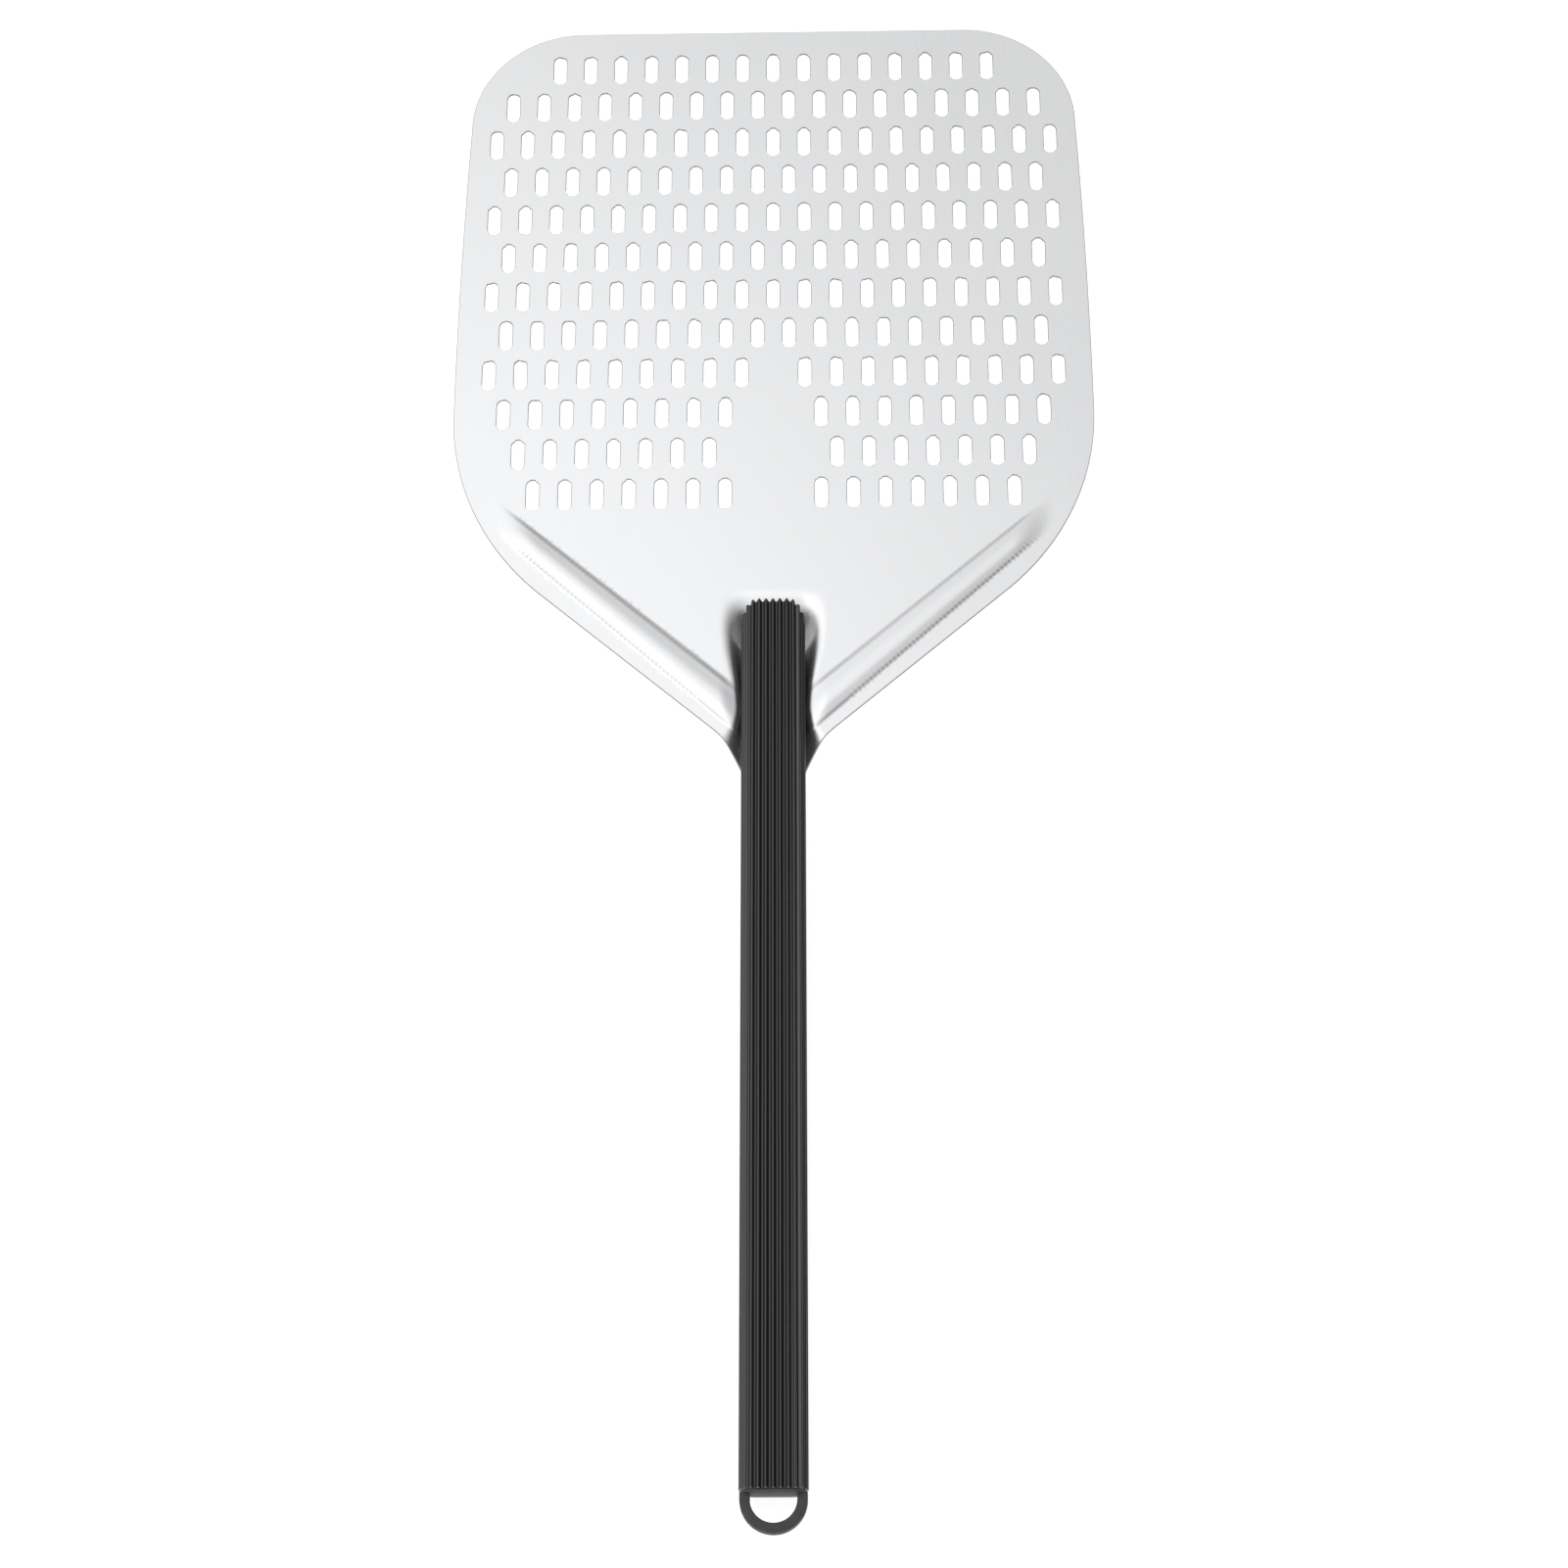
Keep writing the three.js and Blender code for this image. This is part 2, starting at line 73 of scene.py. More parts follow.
# Blade outline
HALF_WIDTH = 152 * MM
SHEET = 1.2 * MM
EDGE_ROUND = 0.3 * MM
FRONT_CORNER_RADIUS = 54 * MM
FRONT_CORNER_CENTRE_X = 94.5 * MM
WIDEST_AT = 216 * MM
REAR_CORNER_RADIUS = 125 * MM
SHOULDER_ANGLE = math.radians(40.6)
NECK_RADIUS = 50 * MM
TONGUE_HALF_WIDTH = 11 * MM
TONGUE_END_AT = 431 * MM

# Slots
SLOT_WIDTH = 6.2 * MM
SLOT_LENGTH = 16.2 * MM
SLOT_PITCH = 15.1 * MM
ROW_PITCH = 21.6 * MM
FIRST_ROW_AT = 21.3 * MM
SLOT_END_STEPS = 12
# First and last slot of each row on one side, in slot pitches from the middle of the blade
ROWS = [
    (0, 7), (0.5, 8.5), (0, 9), (0.5, 8.5), (0, 9), (0.5, 8.5),
    (0, 9), (0.5, 8.5), (1, 9), (1.5, 8.5), (2, 8), (1.5, 7.5),
]

# Pressed rear of the blade, with the finest mesh around the cradle
PRESSED_FROM = 248 * MM
FLAT_GRID = 12 * MM
PRESS_GRID = 1.8 * MM
CRADLE_GRID = 0.9 * MM
BEAD_SIDE_ROWS = 15
RIM_CLEARANCE = 0.6 * CRADLE_GRID
SLOPE_STEP = 0.05 * MM
EDGE_ROUND_STEPS = 4

# Cradle
CRADLE_FRONT_AT = 308 * MM
CRADLE_RAMP = 26 * MM
CRADLE_DEPTH = 7 * MM
CRADLE_FLOOR_HALF = 11 * MM
CRADLE_WIDE_RIM = 27 * MM
CRADLE_NARROW_RIM = 18.5 * MM
CRADLE_NARROWS_FROM = 322 * MM
CRADLE_NARROWS_OVER = 55 * MM
CRADLE_WALL_LEAN = 1.4
NECK_FALLS_FROM = 366 * MM
NECK_FALLS_OVER = 38 * MM
NECK_RIM_SPREAD = 16 * MM

# Beads
BEAD_HEIGHT = 1.6 * MM
BEAD_FOOT_AT_ROOT = 4 * MM
BEAD_FOOT_AT_TIP = 10 * MM
BEAD_CREST_AT_ROOT = 11.5 * MM
BEAD_CREST_AT_TIP = 15.5 * MM
BEAD_INNER_FOOT = 24 * MM
BEAD_CREASE_SPAN = 0.35
BEAD_CREASE_SHARE = 0.45
BEAD_TIP_X = 132 * MM
BEAD_TIP_TAPER = 22 * MM
BEAD_ROOT_X = 12 * MM
BEAD_ROOT_TAPER = 14 * MM

# Handle tube
TUBE_CORNER = 7.5 * MM
TUBE_WALL = 1.5 * MM
RIB_COUNT = 24
RIB_DEPTH = 1 * MM
RIB_STEPS = 16
TUBE_CUT_ANGLE = math.radians(54)
DEBURR = 0.12 * MM

# End cap
FLANGE = 1 * MM
FLANGE_INSET = 0.4 * MM
LOOP_RADIUS = 14.3 * MM
LOOP_BAND = 4.4 * MM
LOOP_THICKNESS = 6 * MM
LOOP_CHAMFER = 0.8 * MM
LOOP_STEPS = 48
CAP_EDGE = 0.35 * MM
CAP_OUTLINE_POINTS = 96

# Rivets
RIVETS = ("front", "middle", "rear")
RIVET_HOLE_RADIUS = 2.7 * MM
RIVET_SHANK_RADIUS = 2.4 * MM
MANDREL_HOLE_RADIUS = 1.5 * MM
RIVET_BULB_RADIUS = 3.4 * MM
RIVET_SEGMENTS = 40
PIN_SEGMENTS = 24
PIN_TIP_RADIUS = 0.02 * MM
PIN_SNAP_HOLLOW = 0.25 * MM
PIN_SNAP_EDGE = 0.2 * MM

# Edges sharper than this are shaded hard
HARD_EDGE_DEGREES = 30
RIVET_HARD_EDGE_DEGREES = 35

# ---------------------------------------------------------------- places, from the frame

tube_low, tube_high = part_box("handle_tube")
_, blade_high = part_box("blade")
cap_low, cap_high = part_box("end_cap")

FRONT_Y = blade_high.y
SHEET_TOP = tube_low.z - CONTACT_GAP + CRADLE_DEPTH
TUBE_WIDTH = tube_high.x - tube_low.x
TUBE_HEIGHT = tube_high.z - tube_low.z
TUBE_CENTRE_Z = (tube_high.z + tube_low.z) / 2

REAR_TURN = math.pi / 2 - SHOULDER_ANGLE
SHOULDER_TOP_X = HALF_WIDTH - REAR_CORNER_RADIUS * (1 - math.cos(REAR_TURN))
SHOULDER_TOP_AT = WIDEST_AT + REAR_CORNER_RADIUS * math.sin(REAR_TURN)
NECK_TOP_X = TONGUE_HALF_WIDTH + NECK_RADIUS * (1 - math.cos(REAR_TURN))
NECK_TOP_AT = SHOULDER_TOP_AT + (SHOULDER_TOP_X - NECK_TOP_X) * math.tan(SHOULDER_ANGLE)
NECK_END_AT = NECK_TOP_AT + NECK_RADIUS * math.sin(REAR_TURN)


def rivet_at(place):
    low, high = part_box(f"rivet_{place}")
    return FRONT_Y - (low.y + high.y) / 2


# ---------------------------------------------------------------- mesh helpers

def new_object(name, vertices, faces, slot, materials, face_materials=None):
    mesh = bpy.data.meshes.new(name)
    mesh.from_pydata([tuple(v) for v in vertices], [], faces)
    for material in materials:
        mesh.materials.append(material)
    if face_materials is not None:
        mesh.polygons.foreach_set("material_index", face_materials)
    mesh.update()
    piece = bpy.data.objects.new(name, mesh)
    bpy.context.scene.collection.objects.link(piece)
    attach(piece, BODY)
    return piece


def ring_faces(rings, size, closed=False):
    """Quads between rings of points; the last ring also meets the first one if closed."""
    faces = []
    for ring in range(rings if closed else rings - 1):
        here = ring * size
        there = (ring + 1) % rings * size
        for i in range(size):
            j = (i + 1) % size
            faces.append((here + i, here + j, there + j, there + i))
    return faces


def end_faces(rings, size):
    last = (rings - 1) * size
    return [tuple(range(size)), tuple(last + i for i in reversed(range(size)))]


def smooth_by_angle(piece, degrees=HARD_EDGE_DEGREES):
    """Shades every face smooth and keeps edges sharper than the angle hard."""
    mesh = bmesh.new()
    mesh.from_mesh(piece.data)
    bmesh.ops.recalc_face_normals(mesh, faces=mesh.faces)
    limit = math.radians(degrees)
    for face in mesh.faces:
        face.smooth = True
    for edge in mesh.edges:
        edge.smooth = edge.is_manifold and edge.calc_face_angle(0) < limit
    mesh.to_mesh(piece.data)
    mesh.free()


def smooth(t):
    """A smooth step from 0 to 1, with no kink and no jump in curvature at either end."""
    clamped = np.clip(t, 0, 1)
    return clamped ** 3 * (10 - 15 * clamped + 6 * clamped ** 2)


# ---------------------------------------------------------------- blade shape

def cradle_drop(x, at):
    narrowed = smooth((at - CRADLE_NARROWS_FROM) / CRADLE_NARROWS_OVER)
    fallen = smooth((at - NECK_FALLS_FROM) / NECK_FALLS_OVER)
    rim = CRADLE_WIDE_RIM + (CRADLE_NARROW_RIM - CRADLE_WIDE_RIM) * narrowed
    rim = rim + NECK_RIM_SPREAD * fallen
    inwards = np.maximum(0, rim - np.abs(x)) / (rim - CRADLE_FLOOR_HALF)
    wall = smooth(inwards ** CRADLE_WALL_LEAN)
    return CRADLE_DEPTH * smooth((at - CRADLE_FRONT_AT) / CRADLE_RAMP) * wall


def bead_side(t):
    """One side of a bead, 0 at its foot to 1 at its crest: a steep crease, then a gentler face."""
    crease = smooth(t / BEAD_CREASE_SPAN)
    return BEAD_CREASE_SHARE * crease + (1 - BEAD_CREASE_SHARE) * smooth(t)


def shoulder_edge_at(x):
    return SHOULDER_TOP_AT + (SHOULDER_TOP_X - np.abs(x)) * math.tan(SHOULDER_ANGLE)


def bead_lines(x):
    """How far a bead's outer foot and its crest are set in from the shoulder's edge."""
    along = np.clip(np.abs(x) / BEAD_TIP_X, 0, 1)
    foot = BEAD_FOOT_AT_ROOT + (BEAD_FOOT_AT_TIP - BEAD_FOOT_AT_ROOT) * along
    crest = BEAD_CREST_AT_ROOT + (BEAD_CREST_AT_TIP - BEAD_CREST_AT_ROOT) * along
    return foot, crest


def bead_rise(x, at):
    inset = (shoulder_edge_at(x) - at) * math.cos(SHOULDER_ANGLE)
    foot, crest = bead_lines(x)
    outer = bead_side((inset - foot) / (crest - foot))
    inner = bead_side((BEAD_INNER_FOOT - inset) / (BEAD_INNER_FOOT - crest))
    tip = smooth((BEAD_TIP_X - np.abs(x)) / BEAD_TIP_TAPER)
    root = smooth((np.abs(x) - BEAD_ROOT_X) / BEAD_ROOT_TAPER)
    return BEAD_HEIGHT * np.minimum(outer, inner) * tip * root


def sheet_height(x, at):
    return bead_rise(x, at) - cradle_drop(x, at)


def sheet_normal(x, at):
    """Unit normals of the sheet's top face, one row per point."""
    step = SLOPE_STEP
    slope_x = (sheet_height(x + step, at) - sheet_height(x - step, at)) / (2 * step)
    slope_y = (sheet_height(x, at - step) - sheet_height(x, at + step)) / (2 * step)
    normal = np.stack([-slope_x, -slope_y, np.ones_like(x)], 1)
    return normal / np.linalg.norm(normal, axis=1)[:, None]


def arc(centre_x, centre_at, radius, start, end, step_degrees=2):
    """Points (x, distance back) of an arc; angles in degrees, 0 along +X, 90 towards the front."""
    count = max(2, math.ceil(abs(end - start) / step_degrees) + 1)
    angles = np.radians(np.linspace(start, end, count))
    return np.stack([centre_x + radius * np.cos(angles), centre_at - radius * np.sin(angles)], 1)


def blade_half_outline():
    """The right half, from the middle of the front edge back to the middle of the tongue's end."""
    turn = math.degrees(REAR_TURN)
    side = HALF_WIDTH - (FRONT_CORNER_CENTRE_X + FRONT_CORNER_RADIUS)
    side_run = WIDEST_AT - FRONT_CORNER_RADIUS
    swell = np.linspace(1, 0, 14)[1:-1]
    return np.concatenate([
        [[0, 0]],
        arc(FRONT_CORNER_CENTRE_X, FRONT_CORNER_RADIUS, FRONT_CORNER_RADIUS, 90, 0),
        np.stack([HALF_WIDTH - side * swell ** 2, WIDEST_AT - side_run * swell], 1),
        arc(HALF_WIDTH - REAR_CORNER_RADIUS, WIDEST_AT, REAR_CORNER_RADIUS, 0, -turn, 1),
        arc(TONGUE_HALF_WIDTH + NECK_RADIUS, NECK_END_AT, NECK_RADIUS, 180 - turn, 180),
        arc(0, TONGUE_END_AT - TONGUE_HALF_WIDTH, TONGUE_HALF_WIDTH, 0, -90, 6),
    ])


def subdivided(points, longest):
    """A closed outline with every edge cut into pieces no longer than that."""
    result = []
    for here, there in zip(points, np.roll(points, -1, 0)):
        pieces = max(1, math.ceil(np.linalg.norm(there - here) / longest))
        result.extend(here + (there - here) * k / pieces for k in range(pieces))
    return np.array(result)


def outline_points():
    half = blade_half_outline()
    mirrored = half[-2:0:-1] * [-1, 1]
    return subdivided(np.concatenate([half, mirrored]), PRESS_GRID)


def normals_of(points):
    """Outward 2D normals of a closed outline that runs clockwise in plan (x, distance back)."""
    along = np.roll(points, -1, 0) - np.roll(points, 1, 0)
    normal = np.stack([along[:, 1], -along[:, 0]], 1)
    return normal / np.linalg.norm(normal, axis=1)[:, None]


def slot_points(x, at):
    """Points and outward-from-the-hole normals of one slot."""
    angles = np.radians(np.linspace(0, 180, SLOT_END_STEPS + 1))
    reach = (SLOT_LENGTH - SLOT_WIDTH) / 2
    round_end = np.stack([np.cos(angles), -np.sin(angles)], 1)
    front = round_end * SLOT_WIDTH / 2 + [x, at - reach]
    back = -round_end * SLOT_WIDTH / 2 + [x, at + reach]
    return np.concatenate([front, back]), np.concatenate([round_end, -round_end])


def slot_centres():
    centres = []
    for row, (first, last) in enumerate(ROWS):
        at = FIRST_ROW_AT + row * ROW_PITCH
        for column in np.arange(first, last + 0.5, 1.0):
            for side in ((1, -1) if column > 0 else (1,)):
                centres.append((side * column * SLOT_PITCH, at))
    return centres


def circle_points(x, at, radius, count=24):
    angles = np.linspace(0, 2 * math.pi, count, endpoint=False)
    ring = np.stack([np.cos(angles), -np.sin(angles)], 1)
    return ring * radius + [x, at], ring


def inside_outline(points, outline):
    """Whether each point is inside a closed outline, by counting crossings."""
    inside = np.zeros(len(points), bool)
    for (x0, a0), (x1, a1) in zip(outline, np.roll(outline, -1, 0)):
        if a0 == a1:
            continue
        crosses = (points[:, 1] < a0) != (points[:, 1] < a1)
        at_x = x0 + (points[:, 1] - a0) * (x1 - x0) / (a1 - a0)
        inside ^= crosses & (points[:, 0] < at_x)
    return inside


def slot_distance(points, centre):
    """Distance from a slot's wall, negative inside the slot."""
    reach = (SLOT_LENGTH - SLOT_WIDTH) / 2
    offset = points - centre
    offset[:, 1] -= np.clip(offset[:, 1], -reach, reach)
    return np.linalg.norm(offset, axis=1) - SLOT_WIDTH / 2


def grid_points(spacing, first_at, last_at, half_width=HALF_WIDTH):
    """A grid whose every second row is shifted by half the spacing."""
    columns = np.arange(-half_width, half_width + spacing, spacing)
    rows = np.arange(first_at, last_at, spacing)
    x, at = np.meshgrid(columns, rows)
    x = x + (spacing / 2) * (np.arange(len(rows)) % 2)[:, None]
    return np.stack([x.ravel(), at.ravel()], 1)


def bead_points(from_x):
    """Mesh points in rows that run along each bead, closest together across its creases."""
    x = np.arange(from_x, BEAD_TIP_X, PRESS_GRID)
    foot, crest = bead_lines(x)
    across = np.linspace(0, 1, BEAD_SIDE_ROWS)
    insets = [foot + (crest - foot) * t for t in across]
    insets += [crest + (BEAD_INNER_FOOT - crest) * t for t in across[1:]]
    backs = [shoulder_edge_at(x) - inset / math.cos(SHOULDER_ANGLE) for inset in insets]
    right = np.concatenate([np.stack([x, at], 1) for at in backs])
    return np.concatenate([right, right * [-1, 1]])


def on_bead(points, from_x, margin):
    """Whether each point lies on a bead's part of the mesh, or within the margin of it."""
    x = points[:, 0]
    inset = (shoulder_edge_at(x) - points[:, 1]) * math.cos(SHOULDER_ANGLE)
    foot, _ = bead_lines(x)
    between = (np.abs(x) > from_x - margin) & (np.abs(x) < BEAD_TIP_X)
    return between & (inset > foot - margin) & (inset < BEAD_INNER_FOOT + margin)


def blade_rims():
    """Every rim of the sheet as (points, outward normals): the outline, the slots, rivet holes.
    A normal points out of the metal, so into the slot on a slot's rim."""
    outline = outline_points()
    rims = [(outline, normals_of(outline))]
    for centre in slot_centres():
        points, away = slot_points(*centre)
        rims.append((points, -away))
    for place in RIVETS:
        points, away = circle_points(0, rivet_at(place), RIVET_HOLE_RADIUS)
        rims.append((points, -away))
    return rims


def inner_points():
    """Mesh points over the whole sheet, before those near a rim are dropped."""
    fine_from = CRADLE_FRONT_AT - 2 * PRESS_GRID
    fine_half = CRADLE_WIDE_RIM + 4 * PRESS_GRID
    beads_from = fine_half + 2 * CRADLE_GRID
    pressed = grid_points(PRESS_GRID, PRESSED_FROM, TONGUE_END_AT)
    near_middle = np.abs(pressed[:, 0]) < fine_half + CRADLE_GRID
    in_cradle = near_middle & (pressed[:, 1] > fine_from - CRADLE_GRID)
    on_beads = on_bead(pressed, beads_from, CRADLE_GRID)
    return np.concatenate([
        grid_points(FLAT_GRID, FLAT_GRID, PRESSED_FROM),
        pressed[~in_cradle & ~on_beads],
        grid_points(CRADLE_GRID, fine_from, TONGUE_END_AT, fine_half),
        bead_points(beads_from),
    ])


def on_metal(points, outline, slot_margin):
    """Whether each point is inside the outline, further than the margin from every slot and
    outside the rivet holes."""
    metal = inside_outline(points, outline)
    for centre in slot_centres():
        metal &= slot_distance(points.copy(), np.array(centre)) > slot_margin
    for place in RIVETS:
        metal &= np.linalg.norm(points - [0, rivet_at(place)], axis=1) > RIVET_HOLE_RADIUS
    return metal


def nearest_distance(points, others, points_at_once=2000):
    nearest = []
    for start in range(0, len(points), points_at_once):
        part = points[start:start + points_at_once]
        nearest.append(np.linalg.norm(part[:, None] - others[None], axis=2).min(1))
    return np.concatenate(nearest)


def blade_plan(rims):
    """Points and triangles of the sheet in plan, from rims pulled back by the edge rounding.
    The rims' points come first."""
    pulled = [points - normals * EDGE_ROUND for points, normals in rims]
    outline = pulled[0]
    holes = pulled[-len(RIVETS):]
    inner = inner_points()
    clear = nearest_distance(inner, np.concatenate([outline] + holes)) > RIM_CLEARANCE
    inner = inner[clear & on_metal(inner, outline, RIM_CLEARANCE)]

    edges = []
    first = 0
    for points in pulled:
        count = len(points)
        edges.extend((first + i, first + (i + 1) % count) for i in range(count))
        first += count
    cloud = np.concatenate(pulled + [inner])
    plan = delaunay_2d_cdt([Vector(p) for p in cloud], edges, [], 0, 1e-9)
    if len(plan[0]) != len(cloud):
        raise RuntimeError(f"the sheet's plan gained {len(plan[0]) - len(cloud)} points")
    triangles = np.array(plan[2])
    solid = on_metal(cloud[triangles].mean(1), outline, -EDGE_ROUND / 2)
    return cloud, triangles[solid]


def place_sheet(points, depth):
    """Points in space at a depth below the sheet's top face, and the face's normals there."""
    x, at = points[:, 0], points[:, 1]
    normal = sheet_normal(x, at)
    top = np.stack([x, FRONT_Y - at, SHEET_TOP + sheet_height(x, at)], 1)
    return top - normal * depth, normal


def edge_rounding():
    """Depth, inset and lean of each ring round a sheet's edge, from the top face to the bottom."""
    angles = np.radians(np.linspace(0, 90, EDGE_ROUND_STEPS + 1)[1:])
    depths = list(EDGE_ROUND * (1 - np.cos(angles)))
    insets = list(EDGE_ROUND * (1 - np.sin(angles)))
    depths += [SHEET - depth for depth in reversed(depths)]
    insets += list(reversed(insets))
    leans = list(angles) + list(math.pi - angles[::-1])
    return zip(depths, insets, leans)


def rim_ring(points, outward, depth, inset, lean):
    """The places and normals of one ring of every rim."""
    places, normal = place_sheet(points - outward * inset, depth)
    sideways = np.stack([outward[:, 0], -outward[:, 1], np.zeros(len(outward))], 1)
    sideways -= normal * (sideways * normal).sum(1)[:, None]
    sideways /= np.linalg.norm(sideways, axis=1)[:, None]
    return places, normal * math.cos(lean) + sideways * math.sin(lean)


def rim_faces(rims, ring_starts):
    faces = []
    first = 0
    for points, _ in rims:
        size = len(points)
        for upper, lower in zip(ring_starts, ring_starts[1:]):
            for i in range(size):
                here = first + i
                there = first + (i + 1) % size
                faces.append((upper + here, lower + here, lower + there, upper + there))
        first += size
    return faces


def turned_up(triangles, places):
    """The triangles, all turned so that they face up."""
    a, b, c = (places[triangles[:, k]] for k in range(3))
    facing_down = np.cross(b - a, c - a)[:, 2] < 0
    triangles[facing_down] = triangles[facing_down][:, [0, 2, 1]]
    return triangles.tolist()


def build_blade(materials):
    rims = blade_rims()
    cloud, triangles = blade_plan(rims)
    count = len(cloud)
    top, up = place_sheet(cloud, 0)
    bottom, _ = place_sheet(cloud, SHEET)
    vertices = [top, bottom]
    normals = [up, -up]
    triangles = turned_up(triangles, top)
    faces = [tuple(corners) for corners in triangles]
    faces += [(a + count, c + count, b + count) for a, b, c in triangles]
    face_materials = [0] * len(faces)

    rim_points = np.concatenate([points for points, _ in rims])
    outward = np.concatenate([away for _, away in rims])
    ring_starts = [0]
    for depth, inset, lean in edge_rounding():
        ring_starts.append(sum(len(part) for part in vertices))
        places, ring_normals = rim_ring(rim_points, outward, depth, inset, lean)
        vertices.append(places)
        normals.append(ring_normals)
    ring_starts.append(count)
    edges = rim_faces(rims, ring_starts)
    faces += edges
    face_materials += [1] * len(edges)

    piece = new_object(
        "blade_sheet", np.concatenate(vertices), faces, "blade_sheet", materials, face_materials)
    mesh = piece.data
    checked = bmesh.new()
    checked.from_mesh(mesh)
    bmesh.ops.recalc_face_normals(checked, faces=checked.faces)
    checked.to_mesh(mesh)
    checked.free()
    mesh.polygons.foreach_set("use_smooth", [True] * len(mesh.polygons))
    mesh.normals_split_custom_set_from_vertices([tuple(n) for n in np.concatenate(normals)])
    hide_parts("blade")
    return piece


# ---------------------------------------------------------------- handle tube

def rounded_outline(width, height, radius, count):
    """Evenly spaced points and outward normals of a rounded rectangle, clockwise from the top."""
    straight = [width - 2 * radius, height - 2 * radius] * 2
    quarter = math.pi * radius / 2
    perimeter = sum(straight) + 4 * quarter
    points = []
    normals = []
    for i in range(count):
        left = (perimeter * i / count + straight[0] / 2) % perimeter
        angle = math.pi / 2
        centre = np.array([-straight[0] / 2, straight[1] / 2])
        for run in straight:
            centre = centre + min(left, run) * np.array([math.sin(angle), -math.cos(angle)])
            left -= run
            if left <= 0:
                break
            angle -= min(left, quarter) / radius
            left -= quarter
            if left <= 0:
                break
        outward = np.array([math.cos(angle), math.sin(angle)])
        points.append(centre + radius * outward)
        normals.append(outward)
    return np.array(points), np.array(normals)


def tube_front_y(z):
    """Where the slanted cut meets a line along the tube at that height."""
    return tube_high.y - (tube_high.z - z) * math.tan(TUBE_CUT_ANGLE)


def tube_side(section, away):
    """Rings of one side of the tube's wall from front to back, both ends taken off by the
    deburring. The section and its normals away from the metal are (across, up) pairs."""
    z = section[:, 1] + TUBE_CENTRE_Z
    shrunk = section - away * DEBURR
    rows = [
        (shrunk, tube_front_y(z)),
        (section, tube_front_y(z) - DEBURR),
        (section, np.full(len(z), tube_low.y + DEBURR)),
        (shrunk, np.full(len(z), tube_low.y)),
    ]
    return [np.stack([row[:, 0], y, row[:, 1] + TUBE_CENTRE_Z], 1) for row, y in rows]


def build_tube(materials):
    count = RIB_COUNT * RIB_STEPS
    outer, outward = rounded_outline(TUBE_WIDTH, TUBE_HEIGHT, TUBE_CORNER, count)
    wave = np.arange(count) / RIB_STEPS * 2 * math.pi
    outer = outer - outward * (RIB_DEPTH / 2 * (1 - np.cos(wave)))[:, None]
    thinning = RIB_DEPTH + TUBE_WALL
    inner, inward = rounded_outline(
        TUBE_WIDTH - 2 * thinning, TUBE_HEIGHT - 2 * thinning, TUBE_CORNER - thinning, count)

    rings = tube_side(outer, outward) + tube_side(inner, -inward)[::-1]
    faces = ring_faces(len(rings), count, closed=True)
    outer_skin, inner_skin = 1, 5
    face_materials = []
    for band in range(len(rings)):
        material = 0 if band in (outer_skin, inner_skin) else 1
        face_materials += [material] * count
    vertices = np.concatenate(rings)
    slot = "handle_extrusion"
    piece = new_object("handle_extrusion", vertices, faces, slot, materials, face_materials)
    smooth_by_angle(piece)
    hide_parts("handle_tube")
    return piece


# ---------------------------------------------------------------- end cap

def chamfered_section(width, height, chamfer, corner_steps=3):
    """A rectangle with rounded corners, as (across, up) points, anticlockwise."""
    points = []
    for quadrant, (sx, sz) in enumerate(((1, 1), (-1, 1), (-1, -1), (1, -1))):
        for step in range(corner_steps + 1):
            angle = math.pi / 2 * (quadrant + step / corner_steps)
            points.append((
                sx * (width / 2 - chamfer) + chamfer * math.cos(angle),
                sz * (height / 2 - chamfer) + chamfer * math.sin(angle),
            ))
    return np.array(points)


def build_loop():
    """The hanging loop: a chamfered section along two short legs and a half ring."""
    section = chamfered_section(LOOP_BAND, LOOP_THICKNESS, LOOP_CHAMFER)
    middle = LOOP_RADIUS - LOOP_BAND / 2
    centre_y = cap_low.y + LOOP_RADIUS
    root_y = tube_low.y - CONTACT_GAP - FLANGE / 2
    path = [(-middle, root_y, -1, 0)]
    for turn in np.radians(np.linspace(180, 360, LOOP_STEPS + 1)):
        nx, ny = math.cos(turn), math.sin(turn)
        path.append((middle * nx, centre_y + middle * ny, nx, ny))
    path.append((middle, root_y, 1, 0))
    vertices = []
    for x, y, nx, ny in path:
        for across, up in section:
            vertices.append((x + nx * across, y + ny * across, TUBE_CENTRE_Z + up))
    faces = ring_faces(len(path), len(section)) + end_faces(len(path), len(section))
    return vertices, faces


def build_flange():
    """The flange and the plug behind it, one stack of rounded outlines."""
    inset = FLANGE_INSET
    edge = CAP_EDGE
    plug = RIB_DEPTH + TUBE_WALL + CONTACT_GAP
    flange_front = tube_low.y - CONTACT_GAP
    flange_back = flange_front - FLANGE
    stack = [
        (inset + edge, flange_back),
        (inset + 0.3 * edge, flange_back + 0.3 * edge),
        (inset, flange_back + edge),
        (inset, flange_front - edge),
        (inset + edge, flange_front),
        (plug, flange_front),
        (plug, cap_high.y - edge),
        (plug + edge, cap_high.y),
    ]
    vertices = []
    for margin, y in stack:
        width = TUBE_WIDTH - 2 * margin
        height = TUBE_HEIGHT - 2 * margin
        outline, _ = rounded_outline(width, height, TUBE_CORNER - margin, CAP_OUTLINE_POINTS)
        vertices += [(x, y, TUBE_CENTRE_Z + z) for x, z in outline]
    faces = ring_faces(len(stack), CAP_OUTLINE_POINTS)
    return vertices, faces + end_faces(len(stack), CAP_OUTLINE_POINTS)


